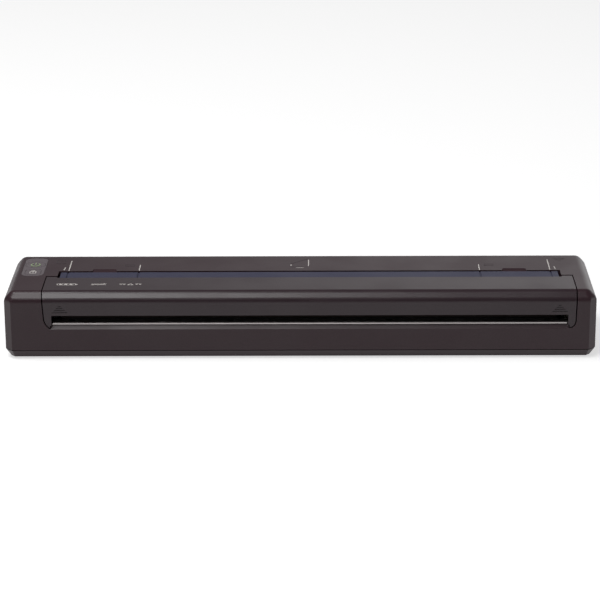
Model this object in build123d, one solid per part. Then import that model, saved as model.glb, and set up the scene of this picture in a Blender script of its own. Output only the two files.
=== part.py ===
from build123d import *
import os
from math import atan2, cos, hypot, pi, radians, sin, sqrt

# A4 portable thermal printer. Millimetres. X runs along the roller, Y to the rear, Z up.
# The origin lies under the middle of the body, on the surface that the feet stand on.

# Body
body_length = 255.0
body_depth = 55.0
body_height = 30.0
foot_lift = 0.5
wall = 1.8
top_chamfer = 3.3
rear_chamfer = 1.3
corner_chamfer = 3.0
edge_rounding = 3.2
parting_height = 4.05
parting_groove = 0.35
bottom_inset = 2.3
seam_gap = 0.5
fit_gap = 0.3
small_gap = 0.1
running_gap = 0.05

# Release cover
left_end = 16.55
right_end = 8.75
cover_side_lean = 0.8
cover_leg_low = 16.0
cover_corner_top = 18.5
cover_wall = 2.0
cover_end_wall = 1.2
cover_end_inset = 0.6
left_leg = 3.9
right_leg = 3.5
slot_top = 19.8
guide_front = -6.0
grip_inset = 3.7
grip_width = 6.8
grip_height = 3.5
grip_depth = 0.3
grip_ribs = 4

# Hinge of the cover
hinge_y = -1.5
hinge_z = 27.0
hinge_pin_radius = 1.5
hinge_pin_reach = 6.0
lug_radius = 4.1
lug_low = 20.5
lug_notch = 1.95
lug_notch_low = 28.0
lug_inset = 4.6

# Feed slot and paper path
deck_edge = 3.3
deck_lip = 1.5
deck_lip_low = 24.6
channel_radius = 7.2
channel_floor = 16.3
channel_width = 1.6
guide_end_gap = 1.2
guide_rear = 2.3
guide_rounding = 0.9
guide_flange = 1.8
guide_flange_reach = 3.0
scallop_width = 11.4
scallop_depth = 2.8
scallop_drop = 0.8
scallop_splay = 0.8
scallop_inset = 16.95
mark_groove_width = 0.8
mark_groove_depth = 0.5
wide_paper = 211.9
narrow_paper = 149.9

# Lip and tear bar
lip_height = 13.3
lip_top = 15.0
lip_setback = 2.0
lip_chamfer = 1.4
shelf_rear = -20.6
shelf_thickness = 1.6
tear_bar_thickness = 1.0
tear_bar_bevel = 0.35

# Platen roller
platen_y = -14.0
platen_z = 22.1
platen_radius = 5.25
platen_core_radius = 3.5
platen_journal_radius = 1.5
platen_inset = 1.9
arm_thickness = 1.4
arm_gap = 0.4
arm_half_width = 4.0
bush_radius = 2.6
bush_seat_gap = 0.18
frame_plate = 1.0

# Gears
gear_module = 0.5
gear_width = 2.0
gear_pressure_angle = 20.0
gear_backlash = 0.10
gear_axial_gap = 0.4
platen_teeth = 18
drive_teeth = 28
idler_teeth = 26
pinion_teeth = 12
idler_rise = 1.6
motor_rise = 0.9
stud_radius = 1.5
clip_radius = 2.4
clip_thickness = 0.5

# Print head
head_front = -19.6
head_rear = -9.0
head_bottom = 8.6
substrate_thickness = 0.75
substrate_margin = 0.6
nip_gap = 0.05
head_travel = 0.4
driver_cover_height = 0.6
driver_cover_depth = 1.4
spring_coil_radius = 2.0
spring_wire_radius = 0.3
spring_turns = 4
spring_count = 6
spring_pocket_depth = 2.0
guide_pin_radius = 1.2
frame_floor_low = 4.6
frame_front = -19.3
frame_rear = -7.6

# Battery and its door
battery_left_room = 5.95
battery_right_room = 55.75
battery_front_room = 2.7
battery_rear_room = 2.7
battery_height = 18.8
battery_low = 5.8
battery_rounding = 4.0
door_margin = 2.0
door_low = 6.0
door_high = 24.6
door_pin_radius = 0.7
door_pin_inset = 1.0
door_pin_rise = 1.2

# Motor
motor_radius = 10.0
motor_length = 17.9
motor_flange = 0.7
motor_shaft_radius = 1.0

# Buttons
pad_margin = 4.9
pad_width = 9.8
pad_front = -3.1
pad_rear = 22.0
pad_thickness = 1.1
pad_rounding = 3.2
power_y = 12.8
power_radius = 4.3
feed_y = 2.4
feed_width = 6.8
feed_length = 7.2
feed_rounding = 1.6
button_gap = 0.15
button_flange = 0.8
button_flange_reach = 0.9
button_travel = 0.5
button_stem_radius = 1.3
switch_size = 6.0
switch_height = 2.0
plunger_height = 0.5
button_board_top = 23.2

# Boards, ports and screws
board_thickness = 1.2
cable_thickness = 0.3
cable_width = 6.0
board_low = 6.0
case_screw_radius = 1.0
case_screw_head_radius = 2.1
case_screw_head = 1.6
boss_wall = 1.7
boss_split = 6.0
boss_clearance = 0.65
foot_radius = 5.0
foot_recess = 0.6
label_length = 70.0
label_depth = 24.0
label_recess = 0.3
label_x = -20.0
light_pipe_radius = 0.65
light_pipe_y = -11.0
light_pipe_inset = 10.25
light_pipe_pitch = 13.65
light_pipe_count = 3

# Worked out from the sizes above
half_length = body_length / 2
half_depth = body_depth / 2
front = -half_depth
rear = half_depth
shoulder = body_height - top_chamfer
cover_left = -half_length + left_end
cover_right = half_length - right_end
slot_left = cover_left + left_leg
slot_right = cover_right - right_leg
lug_left = cover_left + lug_inset
lug_right = cover_right - lug_inset
guide_left = lug_left + guide_end_gap
guide_right = lug_right - guide_end_gap
platen_left = guide_left + platen_inset
platen_right = guide_right - platen_inset
paper_centre = (platen_left + platen_right) / 2
scallop_offset = (platen_right - platen_left) / 2 - scallop_inset
light_pipe_places = [cover_left + light_pipe_inset + i * light_pipe_pitch for i in range(light_pipe_count)]
pad_left = -half_length + pad_margin
pad_right = pad_left + pad_width
power_x = (pad_left + pad_right) / 2
deck_under = body_height - wall
floor_top = foot_lift + wall
head_top = platen_z - platen_radius - nip_gap
sink_top = head_top - substrate_thickness
left_arm = (platen_left - arm_gap - arm_thickness, platen_left - arm_gap)
right_arm = (platen_right + arm_gap, platen_right + arm_gap + arm_thickness)
left_plate = (left_arm[0] - fit_gap - frame_plate, left_arm[0] - fit_gap)
right_plate = (right_arm[1] + fit_gap, right_arm[1] + fit_gap + frame_plate)
gear_left = right_plate[1] + gear_axial_gap
gear_right = gear_left + gear_width
side_wall_left = cover_left - seam_gap
side_wall_right = cover_right + seam_gap
front_inside = front + wall
cover_leg_tip = lip_top + fit_gap
cover_toe_low = lip_height + 2 * seam_gap
tear_bar_top = lip_top + tear_bar_thickness
battery_left = cover_left + battery_left_room
battery_right = cover_right - battery_right_room
battery_front = deck_edge + battery_front_room
battery_rear = rear - battery_rear_room
battery_high = battery_low + battery_height
door_left = battery_left - door_margin
door_right = battery_right + door_margin
door_pin_y = rear - door_pin_inset
door_pin_z = door_low + door_pin_rise
button_stem_low = button_board_top + switch_height + plunger_height + button_travel + small_gap
bar_left = slot_left + fit_gap
bar_right = slot_right - fit_gap


def slab(x0, x1, y0, y1, z0, z1):
    """A block between two corners."""
    return Pos((x0 + x1) / 2, (y0 + y1) / 2, (z0 + z1) / 2) * Box(x1 - x0, y1 - y0, z1 - z0)


def rod_x(radius, x0, x1, y, z):
    """A round bar along X."""
    return Pos((x0 + x1) / 2, y, z) * Rot(0, 90, 0) * Cylinder(radius, x1 - x0)


def rod_z(radius, x, y, z0, z1):
    """A round bar along Z."""
    return Pos(x, y, (z0 + z1) / 2) * Cylinder(radius, z1 - z0)


def along_x(outline, x0, x1):
    """A face drawn in (Y, Z), pulled along X."""
    return extrude(Plane.YZ.offset(x0) * outline, amount=x1 - x0)


def along_y(outline, y0, y1):
    """A face drawn in (X, Z), pulled along Y."""
    plane = Plane(origin=(0, y1, 0), x_dir=(1, 0, 0), z_dir=(0, -1, 0))
    return extrude(plane * outline, amount=y1 - y0)


def polygon(*points):
    """A closed face with straight sides."""
    return make_face(Polyline(*points, close=True))


def plan_outline(inset, rear_inset):
    """The body seen from above, drawn in by an inset: a rectangle with cut corners."""
    half_x = half_length - inset
    y0 = front + inset
    y1 = rear - rear_inset
    cut = max(corner_chamfer - inset * (2 - sqrt(2)), small_gap)
    return polygon(
        (-half_x + cut, y0),
        (half_x - cut, y0),
        (half_x, y0 + cut),
        (half_x, y1 - cut),
        (half_x - cut, y1),
        (-half_x + cut, y1),
        (-half_x, y1 - cut),
        (-half_x, y0 + cut),
    )


def body_block(depth):
    """The whole body as one block, with every face moved inwards by a depth."""
    rise = parting_height - foot_lift
    slope = hypot(rise, bottom_inset) / rise
    low = foot_lift + depth
    low_inset = bottom_inset * (parting_height - low) / rise + depth * slope
    knee = parting_height + depth * (slope - 1) * rise / bottom_inset
    rear_slope = rear_chamfer / top_chamfer
    rear_top = rear_chamfer + depth * (hypot(1, rear_slope) - rear_slope)
    levels = [
        (low, low_inset, low_inset),
        (knee, depth, depth),
        (shoulder - depth * (sqrt(2) - 1), depth, depth),
        (body_height - depth, top_chamfer + depth * (sqrt(2) - 1), rear_top),
    ]
    sections = [Pos(0, 0, z) * plan_outline(inset, rear_inset) for z, inset, rear_inset in levels]
    return loft(sections, ruled=True)


def rounded_body():
    """The outer block with its upper edges rounded a little."""
    block = body_block(0)
    upper = block.edges().filter_by(lambda e: min(v.Z for v in e.vertices()) > shoulder - small_gap)
    return fillet(upper, edge_rounding)


def cover_outline(grow):
    """The release cover seen from the front, its sides carried down to the lip, grown by a gap."""
    low = lip_height + seam_gap
    left_foot = (cover_left + cover_side_lean + 3.2, low)
    right_foot = (cover_right - cover_side_lean / 2 - 2.8, low)
    left_knee = (cover_left + cover_side_lean, cover_corner_top)
    right_knee = (cover_right - cover_side_lean / 2, cover_corner_top - 1.5)
    top = body_height + 1
    left_lean = (left_knee[0] - cover_left, left_knee[1] - top)
    right_lean = (cover_right - right_knee[0], top - right_knee[1])
    edges = [
        Line((cover_left, top), left_knee),
        TangentArc(left_knee, left_foot, tangent=left_lean),
        Line(left_foot, right_foot),
        TangentArc(right_knee, right_foot, tangent=(-right_lean[0], -right_lean[1])),
        Line(right_knee, (cover_right, top)),
        Line((cover_right, top), (cover_left, top)),
    ]
    face = make_face(edges)
    if grow:
        face = offset(face, grow, kind=Kind.INTERSECTION)
    return face


def lug_outline():
    """The side view of the hinge lug: round in front of the pin, flush with the deck above it."""
    nose = Pos(hinge_y, hinge_z) * Circle(lug_radius)
    nose &= polygon(
        (hinge_y - lug_radius, hinge_z),
        (hinge_y, hinge_z),
        (hinge_y, body_height),
        (hinge_y - lug_radius, body_height),
    )
    post = polygon(
        (hinge_y - lug_radius, lug_low),
        (deck_edge + deck_lip, lug_low),
        (deck_edge + deck_lip, body_height),
        (hinge_y, body_height),
        (hinge_y, hinge_z),
        (hinge_y - lug_radius, hinge_z),
    )
    notch = polygon(
        (hinge_y - lug_radius, lug_notch_low),
        (hinge_y - lug_notch, lug_notch_low),
        (hinge_y - lug_notch, body_height),
        (hinge_y - lug_radius, body_height),
    )
    return nose + post - notch


def case_screw_places():
    """Where the screws come up through the bottom case, with the top of each boss."""
    shelf_low = lip_top - shelf_thickness
    row_y = front_inside + case_screw_radius + boss_wall + boss_clearance
    front_row = [(x, row_y, shelf_low) for x in (-50.0, 62.0)]
    corners = [
        (-half_length + 8.0, -19.5, deck_under),
        (battery_left - 4.3, 21.0, deck_under),
        (half_length - 5.8, -18.5, deck_under),
        (half_length - 5.8, 18.5, deck_under),
        (battery_right + 16.0, 22.0, deck_under),
    ]
    return front_row + corners


def upper_case():
    """The upper shell: deck, walls, hinge lugs, front lip and the openings of cover and door."""
    body = rounded_body() - body_block(wall)
    body &= slab(-half_length, half_length, front, rear, parting_height, body_height)
    body -= along_y(cover_outline(seam_gap), front - 1, hinge_y)
    body -= slab(lug_left, lug_right, hinge_y - 1, deck_edge, lug_low, body_height + 1)
    body += along_x(lug_outline(), side_wall_left - wall, lug_left)
    body += along_x(lug_outline(), lug_right, side_wall_right + wall)
    body += slab(lug_left, lug_right, deck_edge, deck_edge + deck_lip, deck_lip_low, body_height)
    side_walls = slab(side_wall_left - wall, side_wall_left, front, hinge_y, lip_height, body_height)
    side_walls += slab(side_wall_right, side_wall_right + wall, front, hinge_y, lip_height, body_height)
    body += side_walls & rounded_body()
    body += front_lip()
    for x, y, top in case_screw_places():
        body += rod_z(case_screw_radius + boss_wall, x, y, boss_split, top)
        body -= rod_z(case_screw_radius, x, y, boss_split - 1, min(top - 1, boss_split + 6))
    for side in (-1, 1):
        body -= scallop(paper_centre + side * scallop_offset)
        pin_x = lug_left if side < 0 else lug_right
        body -= rod_x(hinge_pin_radius, pin_x - 6, pin_x + 6, hinge_y, hinge_z)
    body = cut_button_openings(body)
    body = cut_door_opening(body)
    body = cut_port_openings(body)
    return body


def front_lip():
    """The bevelled lip under the exit slot, lower below the cover's legs, and the tear bar's shelf."""
    outline = polygon(
        (front, lip_height),
        (front, lip_top - lip_chamfer),
        (front + lip_chamfer, lip_top),
        (shelf_rear, lip_top),
        (shelf_rear, lip_top - shelf_thickness),
        (front_inside, lip_top - shelf_thickness),
        (front_inside, lip_height),
    )
    lip = along_x(outline, side_wall_left, side_wall_right)
    for x0, x1 in ((side_wall_left, slot_left - fit_gap), (slot_right + fit_gap, side_wall_right)):
        lip -= slab(x0, x1, front, front + cover_wall + seam_gap, lip_height + seam_gap, lip_top)
    lip &= along_y(cover_outline(seam_gap), front - 1, hinge_y)
    for x in tear_screw_places():
        lip -= rod_z(0.8, x, tear_screw_y(), lip_top - shelf_thickness, lip_top)
    return lip


def tear_screw_places():
    """Four screws along the tear bar."""
    return [bar_left + 8 + i * (bar_right - bar_left - 16) / 3 for i in range(4)]


def tear_screw_y():
    """The row of the tear bar's screws."""
    return shelf_rear - 1.7


def scallop(x):
    """A shallow thumb ramp that falls towards the feed slot from the deck."""
    back = deck_edge + scallop_depth
    fall = scallop_drop / scallop_depth
    ramp = polygon(
        (deck_edge - 1, body_height - scallop_drop - fall),
        (back, body_height),
        (back, body_height + 1),
        (deck_edge - 1, body_height + 1),
    )
    half = scallop_width / 2
    plan = polygon(
        (x - half, deck_edge - 1),
        (x + half, deck_edge - 1),
        (x + half - scallop_splay, back),
        (x - half + scallop_splay, back),
    )
    return along_x(ramp, x - half, x + half) & raised(plan, deck_under, body_height + 1)


def pad_outline(grow):
    """The button pad seen from above."""
    width = pad_right - pad_left + 2 * grow
    length = pad_rear - pad_front + 2 * grow
    centre = Pos((pad_left + pad_right) / 2, (pad_front + pad_rear) / 2)
    return centre * RectangleRounded(width, length, pad_rounding)


def feed_outline(grow):
    """The feed key seen from above."""
    shape = RectangleRounded(feed_width + 2 * grow, feed_length + 2 * grow, feed_rounding + grow)
    return Pos(power_x, feed_y) * shape


def power_outline(grow):
    """The power key seen from above."""
    return Pos(power_x, power_y) * Circle(power_radius + grow)


def raised(outline, z0, z1):
    """A face drawn in (X, Y), pulled up between two heights."""
    return extrude(Pos(0, 0, z0) * outline, amount=z1 - z0)


def cut_button_openings(body):
    """The recess of the pad and the holes of the two keys."""
    body -= raised(pad_outline(small_gap), body_height - pad_thickness, body_height + 1)
    for outline in (power_outline(button_gap), feed_outline(button_gap)):
        body -= raised(outline, deck_under - 1, body_height + 1)
    for x, y in button_board_screw_places():
        body += rod_z(1.7, x, y, button_board_top, deck_under)
        body -= rod_z(0.8, x, y, button_board_top - 1, deck_under - 1)
    return body


def button_board_screw_places():
    """The two screws of the button board, in front of and behind the keys."""
    return [(power_x, pad_front - 2.0), (power_x, pad_rear - 1.5)]


def cut_door_opening(body):
    """The battery opening in the rear wall, with a cheek at each end for the door's pins."""
    low = door_low - seam_gap
    high = door_high + fit_gap
    left = door_left - fit_gap
    right = door_right + fit_gap
    cheek = 2.1
    body += slab(left - cheek, left, rear - 2.9, rear, low, low + 3.5)
    body += slab(right, right + cheek, rear - 2.9, rear, low, low + 3.5)
    body -= slab(left, right, rear - wall - 1, rear + 1, low, high)
    return body - rod_x(door_pin_radius + running_gap, left - 1.6, right + 1.6, door_pin_y, door_pin_z)


usb_y = 8.5
usb_width = 9.0
usb_height = 3.2
jack_y = -4.6
jack_width = 9.0
jack_height = 6.5
jack_bore = 2.8


def cut_port_openings(body):
    """The two holes in the left end wall: the data port and the power jack."""
    floor = board_low + board_thickness
    through = (-half_length - 1, -half_length + wall + 1)
    body -= slab(*through, usb_y - usb_width / 2 - small_gap, usb_y + usb_width / 2 + small_gap,
                 floor - small_gap, floor + usb_height + small_gap)
    return body - rod_x(jack_bore + fit_gap, *through, jack_y, floor + jack_height / 2)


def bottom_case():
    """The tray under everything, with bosses, battery ribs, standoffs and a bare recess for a label."""
    tray = body_block(0) - body_block(wall)
    tray &= slab(-half_length, half_length, front, rear, foot_lift, parting_height)
    groove = body_block(-1) - body_block(wall / 2)
    tray -= groove & slab(-half_length, half_length, front, rear, parting_height - parting_groove,
                          parting_height)
    for x, y, top in case_screw_places():
        tray += rod_z(case_screw_radius + boss_wall, x, y, foot_lift, boss_split)
        head_low = foot_lift - 1
        tray -= rod_z(case_screw_head_radius + small_gap, x, y, head_low, foot_lift + 0.6 + case_screw_head)
        tray -= rod_z(case_screw_radius, x, y, foot_lift, boss_split)
    for x in rib_places():
        tray += slab(x - 0.8, x + 0.8, battery_front, battery_rear - seam_gap, floor_top - 1, battery_low)
    for x, y, top in standoff_places():
        tray += rod_z(2.2, x, y, floor_top - 1, top)
        tray -= rod_z(0.8, x, y, floor_top, top)
    for x, y in foot_places():
        tray -= rod_z(foot_radius, x, y, 0, foot_lift + foot_recess)
    tray -= slab(label_x - label_length / 2, label_x + label_length / 2, -label_depth / 2, label_depth / 2,
                 0, foot_lift + label_recess)
    return tray & (body_block(0) + raised(plan_outline(wall, wall), parting_height, boss_split))


def rib_places():
    """The ribs that the battery and its contact block stand on."""
    step = (battery_right - battery_left - 8) / 4
    return [battery_left + 4 + i * step for i in range(5)] + [battery_right + 1.6]


def frame_screw_places():
    """The four screws of the print frame."""
    return [(x, y) for x in (left_plate[1] + 9, right_plate[0] - 9)
            for y in (frame_front + 3, frame_rear - 3)]


main_board_box = (-half_length + 2.3, side_wall_left - wall - 0.2, -14.5, 23.0)
driver_board_box = (battery_right + 5.0, battery_right + 28.0, 6.0, 18.0)


def board_screw_places():
    """One screw at each end of the two boards."""
    spots = []
    for x0, x1, y0, y1 in (main_board_box, driver_board_box):
        spots += [(x1 - 2.6, y0 + 2.6), (x1 - 2.6, y1 - 2.6)]
    return spots


def standoff_places():
    """Every standoff of the bottom case, with its height."""
    frame = [(x, y, frame_floor_low) for x, y in frame_screw_places()]
    return frame + [(x, y, board_low) for x, y in board_screw_places()]


def foot_places():
    """The four feet, near the corners."""
    return [(x * (half_length - 14), y * (half_depth - 11)) for x in (-1, 1) for y in (-1, 1)]


def feet():
    """Four round rubber feet."""
    return [rod_z(foot_radius, x, y, 0, foot_lift + foot_recess) for x, y in foot_places()]


def case_screws():
    """The screws that hold the cases together, sunk in from below."""
    screws = []
    for x, y, top in case_screw_places():
        head = rod_z(case_screw_head_radius, x, y, foot_lift + 0.6, foot_lift + 0.6 + case_screw_head)
        shank = rod_z(case_screw_radius, x, y, foot_lift + 0.6, min(top - 1, boss_split + 6) - 0.5)
        drive = rod_z(0.9, x, y, foot_lift, foot_lift + 1.4)
        screws.append(head + shank - drive)
    return screws


def release_cover():
    """The lid over the roller: a folded shell with legs, end walls and the roller's arms."""
    shell = rounded_body() - body_block(cover_wall)
    shell &= along_y(cover_outline(0), front - 1, hinge_y)
    kept = slab(-half_length, half_length, front, hinge_y, cover_leg_low, body_height)
    kept += slab(-half_length, half_length, front, front + cover_wall, cover_leg_tip, cover_leg_low)
    for x0, x1 in ((-half_length, slot_left - 2 * fit_gap), (slot_right + 2 * fit_gap, half_length)):
        kept += slab(x0, x1, front, front + cover_wall, cover_toe_low, cover_leg_tip)
    shell &= kept
    shell -= slab(slot_left, slot_right, front - 1, front + 8, 0, slot_top)
    shell -= slab(guide_left - guide_end_gap, guide_right + guide_end_gap, guide_front, hinge_y + 5, 0,
                  body_height + 1)
    shell -= rod_x(lug_radius + 0.25, cover_left - 5, cover_right + 5, hinge_y, hinge_z)
    for x0 in (cover_left + 2 * cover_end_inset, cover_right - cover_end_inset - cover_end_wall):
        end = slab(x0, x0 + cover_end_wall, front + 1, hinge_y - lug_radius - cover_end_inset,
                   slot_top, body_height - 1)
        shell += end & body_block(cover_wall / 2)
    for x0, x1 in (left_arm, right_arm):
        shell += arm(x0, x1)
    for x in light_pipe_places:
        shell -= rod_z(light_pipe_radius, x, light_pipe_y, body_height - cover_wall - 1, body_height + 1)
    for x in guide_screw_places():
        shell -= rod_z(0.7, x, guide_screw_y(), body_height - cover_wall - 1, body_height - 0.7)
    for x in (slot_left + grip_inset, slot_right - grip_inset):
        shell -= grip_mark(x)
    return shell


def arm(x0, x1):
    """One of the two arms under the cover that carry the roller's bushes."""
    outline = Pos(platen_y, platen_z) * Circle(arm_half_width)
    outline += polygon(
        (platen_y - arm_half_width, platen_z),
        (platen_y + arm_half_width, platen_z),
        (platen_y + arm_half_width, body_height - cover_wall / 2),
        (platen_y - arm_half_width, body_height - cover_wall / 2),
    )
    return along_x(outline, x0, x1) - rod_x(bush_radius, x0 - 1, x1 + 1, platen_y, platen_z)


def grip_mark(x):
    """A shallow ribbed triangle in the cover's front face, where a finger lifts it."""
    low = slot_top + 1.3
    half = grip_width / 2
    triangle = polygon((x - half, low), (x + half, low), (x, low + grip_height))
    mark = along_y(triangle, front - 1, front + grip_depth)
    pitch = grip_height / grip_ribs
    for i in range(1, grip_ribs):
        z = low + i * pitch
        mark -= slab(x - half, x + half, front - 1, front + grip_depth, z - pitch / 6, z + pitch / 6)
    return mark


def guide_screw_places():
    """The screws that hold the paper guide to the cover."""
    return [guide_left + 12 + i * (guide_right - guide_left - 24) / 3 for i in range(4)]


def guide_screw_y():
    """The row of the guide's screws."""
    return guide_front - 1.7


def channel_centre():
    """The centre of the bend that turns the paper from the feed slot to the roller."""
    return deck_edge - channel_radius, channel_floor + channel_radius


def paper_guide():
    """The dark blue guide along the cover's rear edge, which turns on the hinge pins."""
    cy, cz = channel_centre()
    radius = channel_radius - channel_width
    toe = (cy - 3.1, cz - radius)
    crest = Line((guide_front, body_height), (guide_rear - guide_rounding, body_height))
    shoulder_arc = RadiusArc((guide_rear - guide_rounding, body_height),
                             (guide_rear, body_height - guide_rounding), guide_rounding)
    back = Line((guide_rear, body_height - guide_rounding), (cy + radius, cz))
    bend = RadiusArc((cy + radius, cz), (cy, cz - radius), radius)
    foot = Line((cy, cz - radius), toe)
    rise = Polyline(
        toe,
        (guide_front + 0.1, body_height - cover_wall - guide_flange),
        (guide_front - guide_flange_reach, body_height - cover_wall - guide_flange),
        (guide_front - guide_flange_reach, body_height - cover_wall),
        (guide_front, body_height - cover_wall),
        (guide_front, body_height),
    )
    profile = make_face([crest, shoulder_arc, back, bend, foot, rise])
    guide = along_x(profile, guide_left, guide_right)
    hollow = polygon(
        (toe[0] + 1.5, cz - radius + 1.4),
        (cy + 1.0, cz - radius + 1.4),
        (hinge_y + 1.0, hinge_z - hinge_pin_radius - 1.2),
        (guide_front + 1.5, hinge_z - hinge_pin_radius - 1.2),
    )
    guide -= along_x(hollow, guide_left + 2 * hinge_pin_reach, guide_right - 2 * hinge_pin_reach)
    bore = hinge_pin_radius + running_gap
    guide -= rod_x(bore, guide_left - 1, guide_left + hinge_pin_reach + 0.5, hinge_y, hinge_z)
    guide -= rod_x(bore, guide_right - hinge_pin_reach - 0.5, guide_right + 1, hinge_y, hinge_z)
    for x in guide_screw_places():
        guide -= rod_z(0.7, x, guide_screw_y(), 20, body_height - cover_wall)
    for x in mark_places():
        guide -= slab(x - mark_groove_width / 2, x + mark_groove_width / 2, guide_front - 1, guide_rear + 1,
                      body_height - mark_groove_depth, body_height + 1)
    return guide


def mark_places():
    """Where the edges of the wide and the narrow paper run."""
    return [paper_centre + side * span / 2 for span in (wide_paper, narrow_paper) for side in (-1, 1)]


def guide_screws():
    """Small screws from below, through the guide's flange into the cover."""
    screws = []
    under = body_height - cover_wall - guide_flange
    for x in guide_screw_places():
        head = rod_z(1.1, x, guide_screw_y(), under - 0.8, under)
        screws.append(head + rod_z(0.7, x, guide_screw_y(), under - 0.8, body_height - 0.8))
    return screws


def hinge_pins():
    """Two steel pins in the lugs, on which the cover turns."""
    left = rod_x(hinge_pin_radius, lug_left - 5.0, guide_left + hinge_pin_reach, hinge_y, hinge_z)
    right = rod_x(hinge_pin_radius, guide_right - hinge_pin_reach, lug_right + 5.0, hinge_y, hinge_z)
    return [left, right]


def light_pipes():
    """Three clear pipes that show as dots in the cover."""
    pipes = []
    under = body_height - cover_wall
    for x in light_pipe_places:
        pipe = rod_z(light_pipe_radius, x, light_pipe_y, under - 0.7, body_height)
        pipe += rod_z(light_pipe_radius + 0.5, x, light_pipe_y, under - 0.7, under)
        pipes.append(pipe)
    return pipes


def tear_bar():
    """The steel blade along the exit slot, bevelled to an edge in front."""
    nose = front + lip_setback
    outline = polygon(
        (nose, lip_top),
        (nose, tear_bar_top - tear_bar_bevel),
        (nose + tear_bar_bevel, tear_bar_top),
        (shelf_rear, tear_bar_top),
        (shelf_rear, lip_top),
    )
    bar = along_x(outline, bar_left, bar_right)
    for x in tear_screw_places():
        bar -= tear_screw(x)
    return bar


def tear_screw(x):
    """One countersunk screw, flush with the bar."""
    y = tear_screw_y()
    head = Pos(x, y, tear_bar_top - 0.4) * Cone(0.8, 1.6, 0.8)
    return head + rod_z(0.8, x, y, lip_top - shelf_thickness, tear_bar_top - 0.4)


def tear_bar_screws():
    """The four countersunk screws of the tear bar."""
    y = tear_screw_y()
    slot = slab(-1.0, 1.0, y - 0.15, y + 0.15, tear_bar_top - 0.4, tear_bar_top + 1)
    return [tear_screw(x) - Pos(x, 0, 0) * slot for x in tear_screw_places()]


def platen_shaft():
    """The roller's steel shaft, with a thin journal at each end."""
    core = rod_x(platen_core_radius, platen_left, platen_right, platen_y, platen_z)
    return core + rod_x(platen_journal_radius, left_plate[0] - 0.6, gear_right + 0.4, platen_y, platen_z)


def platen_rubber():
    """The rubber sleeve that drives the paper."""
    sleeve = rod_x(platen_radius, platen_left, platen_right, platen_y, platen_z)
    return sleeve - rod_x(platen_core_radius, platen_left, platen_right, platen_y, platen_z)


def platen_bushes():
    """The two plain bearings, held in the arms and seated in the frame's notches."""
    bushes = []
    for x0, x1 in ((left_plate[0] - 0.1, left_arm[1]), (right_arm[0], right_plate[1] + 0.1)):
        ring = rod_x(bush_radius, x0, x1, platen_y, platen_z)
        bushes.append(ring - rod_x(platen_journal_radius + running_gap, x0, x1, platen_y, platen_z))
    return bushes


def gear_outline(teeth, phase):
    """A spur gear's outline, from involute flanks thinned by the backlash."""
    pitch_radius = gear_module * teeth / 2
    base_radius = pitch_radius * cos(radians(gear_pressure_angle))
    tip_radius = pitch_radius + 0.9 * gear_module
    root_radius = pitch_radius - 1.25 * gear_module
    start_radius = max(base_radius, root_radius)

    def involute(radius):
        angle = sqrt(max((radius / base_radius) ** 2 - 1, 0))
        return angle - atan2(angle, 1)

    half_tooth = pi / (2 * teeth) - gear_backlash / (2 * pitch_radius) + involute(pitch_radius)
    steps = 3
    radii = [start_radius + (tip_radius - start_radius) * i / steps for i in range(steps + 1)]
    flank = [(root_radius, half_tooth)] + [(r, half_tooth - involute(r)) for r in radii]
    points = []
    for tooth in range(teeth):
        middle = phase + 2 * pi * tooth / teeth
        for radius, angle in flank:
            points.append((radius * cos(middle - angle), radius * sin(middle - angle)))
        for radius, angle in reversed(flank):
            points.append((radius * cos(middle + angle), radius * sin(middle + angle)))
    return polygon(*points)


def gear_train():
    """Place and turn each gear so that its teeth fall in its neighbour's gaps."""
    down = hypot(platen_y - hinge_y, platen_z - hinge_z)
    toward_drive = atan2((platen_y - hinge_y) / down, (hinge_z - platen_z) / down)
    gears = {"platen": (platen_y, platen_z, platen_teeth, 0.0)}
    gears["drive"] = meshed(gears["platen"], drive_teeth, toward_drive)
    reach = gear_module * (drive_teeth + idler_teeth) / 2
    gears["idler"] = meshed(gears["drive"], idler_teeth, atan2(idler_rise, sqrt(reach ** 2 - idler_rise ** 2)))
    reach = gear_module * (idler_teeth + pinion_teeth) / 2
    gears["pinion"] = meshed(gears["idler"], pinion_teeth, atan2(motor_rise, sqrt(reach ** 2 - motor_rise ** 2)))
    return gears


def meshed(gear, teeth, direction):
    """A gear beside another one, in a direction, turned to mesh with it."""
    y, z, other_teeth, other_phase = gear
    distance = gear_module * (teeth + other_teeth) / 2
    turn = (direction - other_phase) * other_teeth / (2 * pi)
    phase = direction + pi - (0.5 - turn) * 2 * pi / teeth
    return y + distance * cos(direction), z + distance * sin(direction), teeth, phase


def gear(name, bore):
    """One gear of the train, with a bore and a thinner web when it is large."""
    y, z, teeth, phase = gear_train()[name]
    wheel = along_x(Pos(y, z) * gear_outline(teeth, phase), gear_left, gear_right)
    rim = gear_module * teeth / 2 - 2.2
    if rim > bore + 1.6:
        ring = rod_x(rim, gear_right - 0.6, gear_right + 1, y, z)
        wheel -= ring - rod_x(bore + 1.0, gear_right - 1, gear_right + 1, y, z)
    return wheel - rod_x(bore, gear_left - 1, gear_right + 1, y, z)


def gear_studs():
    """The two studs on the frame plate that the drive gear and the idler turn on."""
    studs = []
    for name in ("drive", "idler"):
        y, z, teeth, phase = gear_train()[name]
        studs.append(rod_x(stud_radius, right_plate[1], gear_right + 0.9, y, z)
                     + rod_x(stud_radius + 1.0, right_plate[1], gear_left - 0.1, y, z))
    return studs


def gear_clips():
    """The washers that keep both gears on their studs."""
    clips = []
    for name in ("drive", "idler"):
        y, z, teeth, phase = gear_train()[name]
        ring = rod_x(clip_radius, gear_right + 0.1, gear_right + 0.1 + clip_thickness, y, z)
        clips.append(ring - rod_x(stud_radius, gear_right - 1, gear_right + 2, y, z))
    return clips


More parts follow.
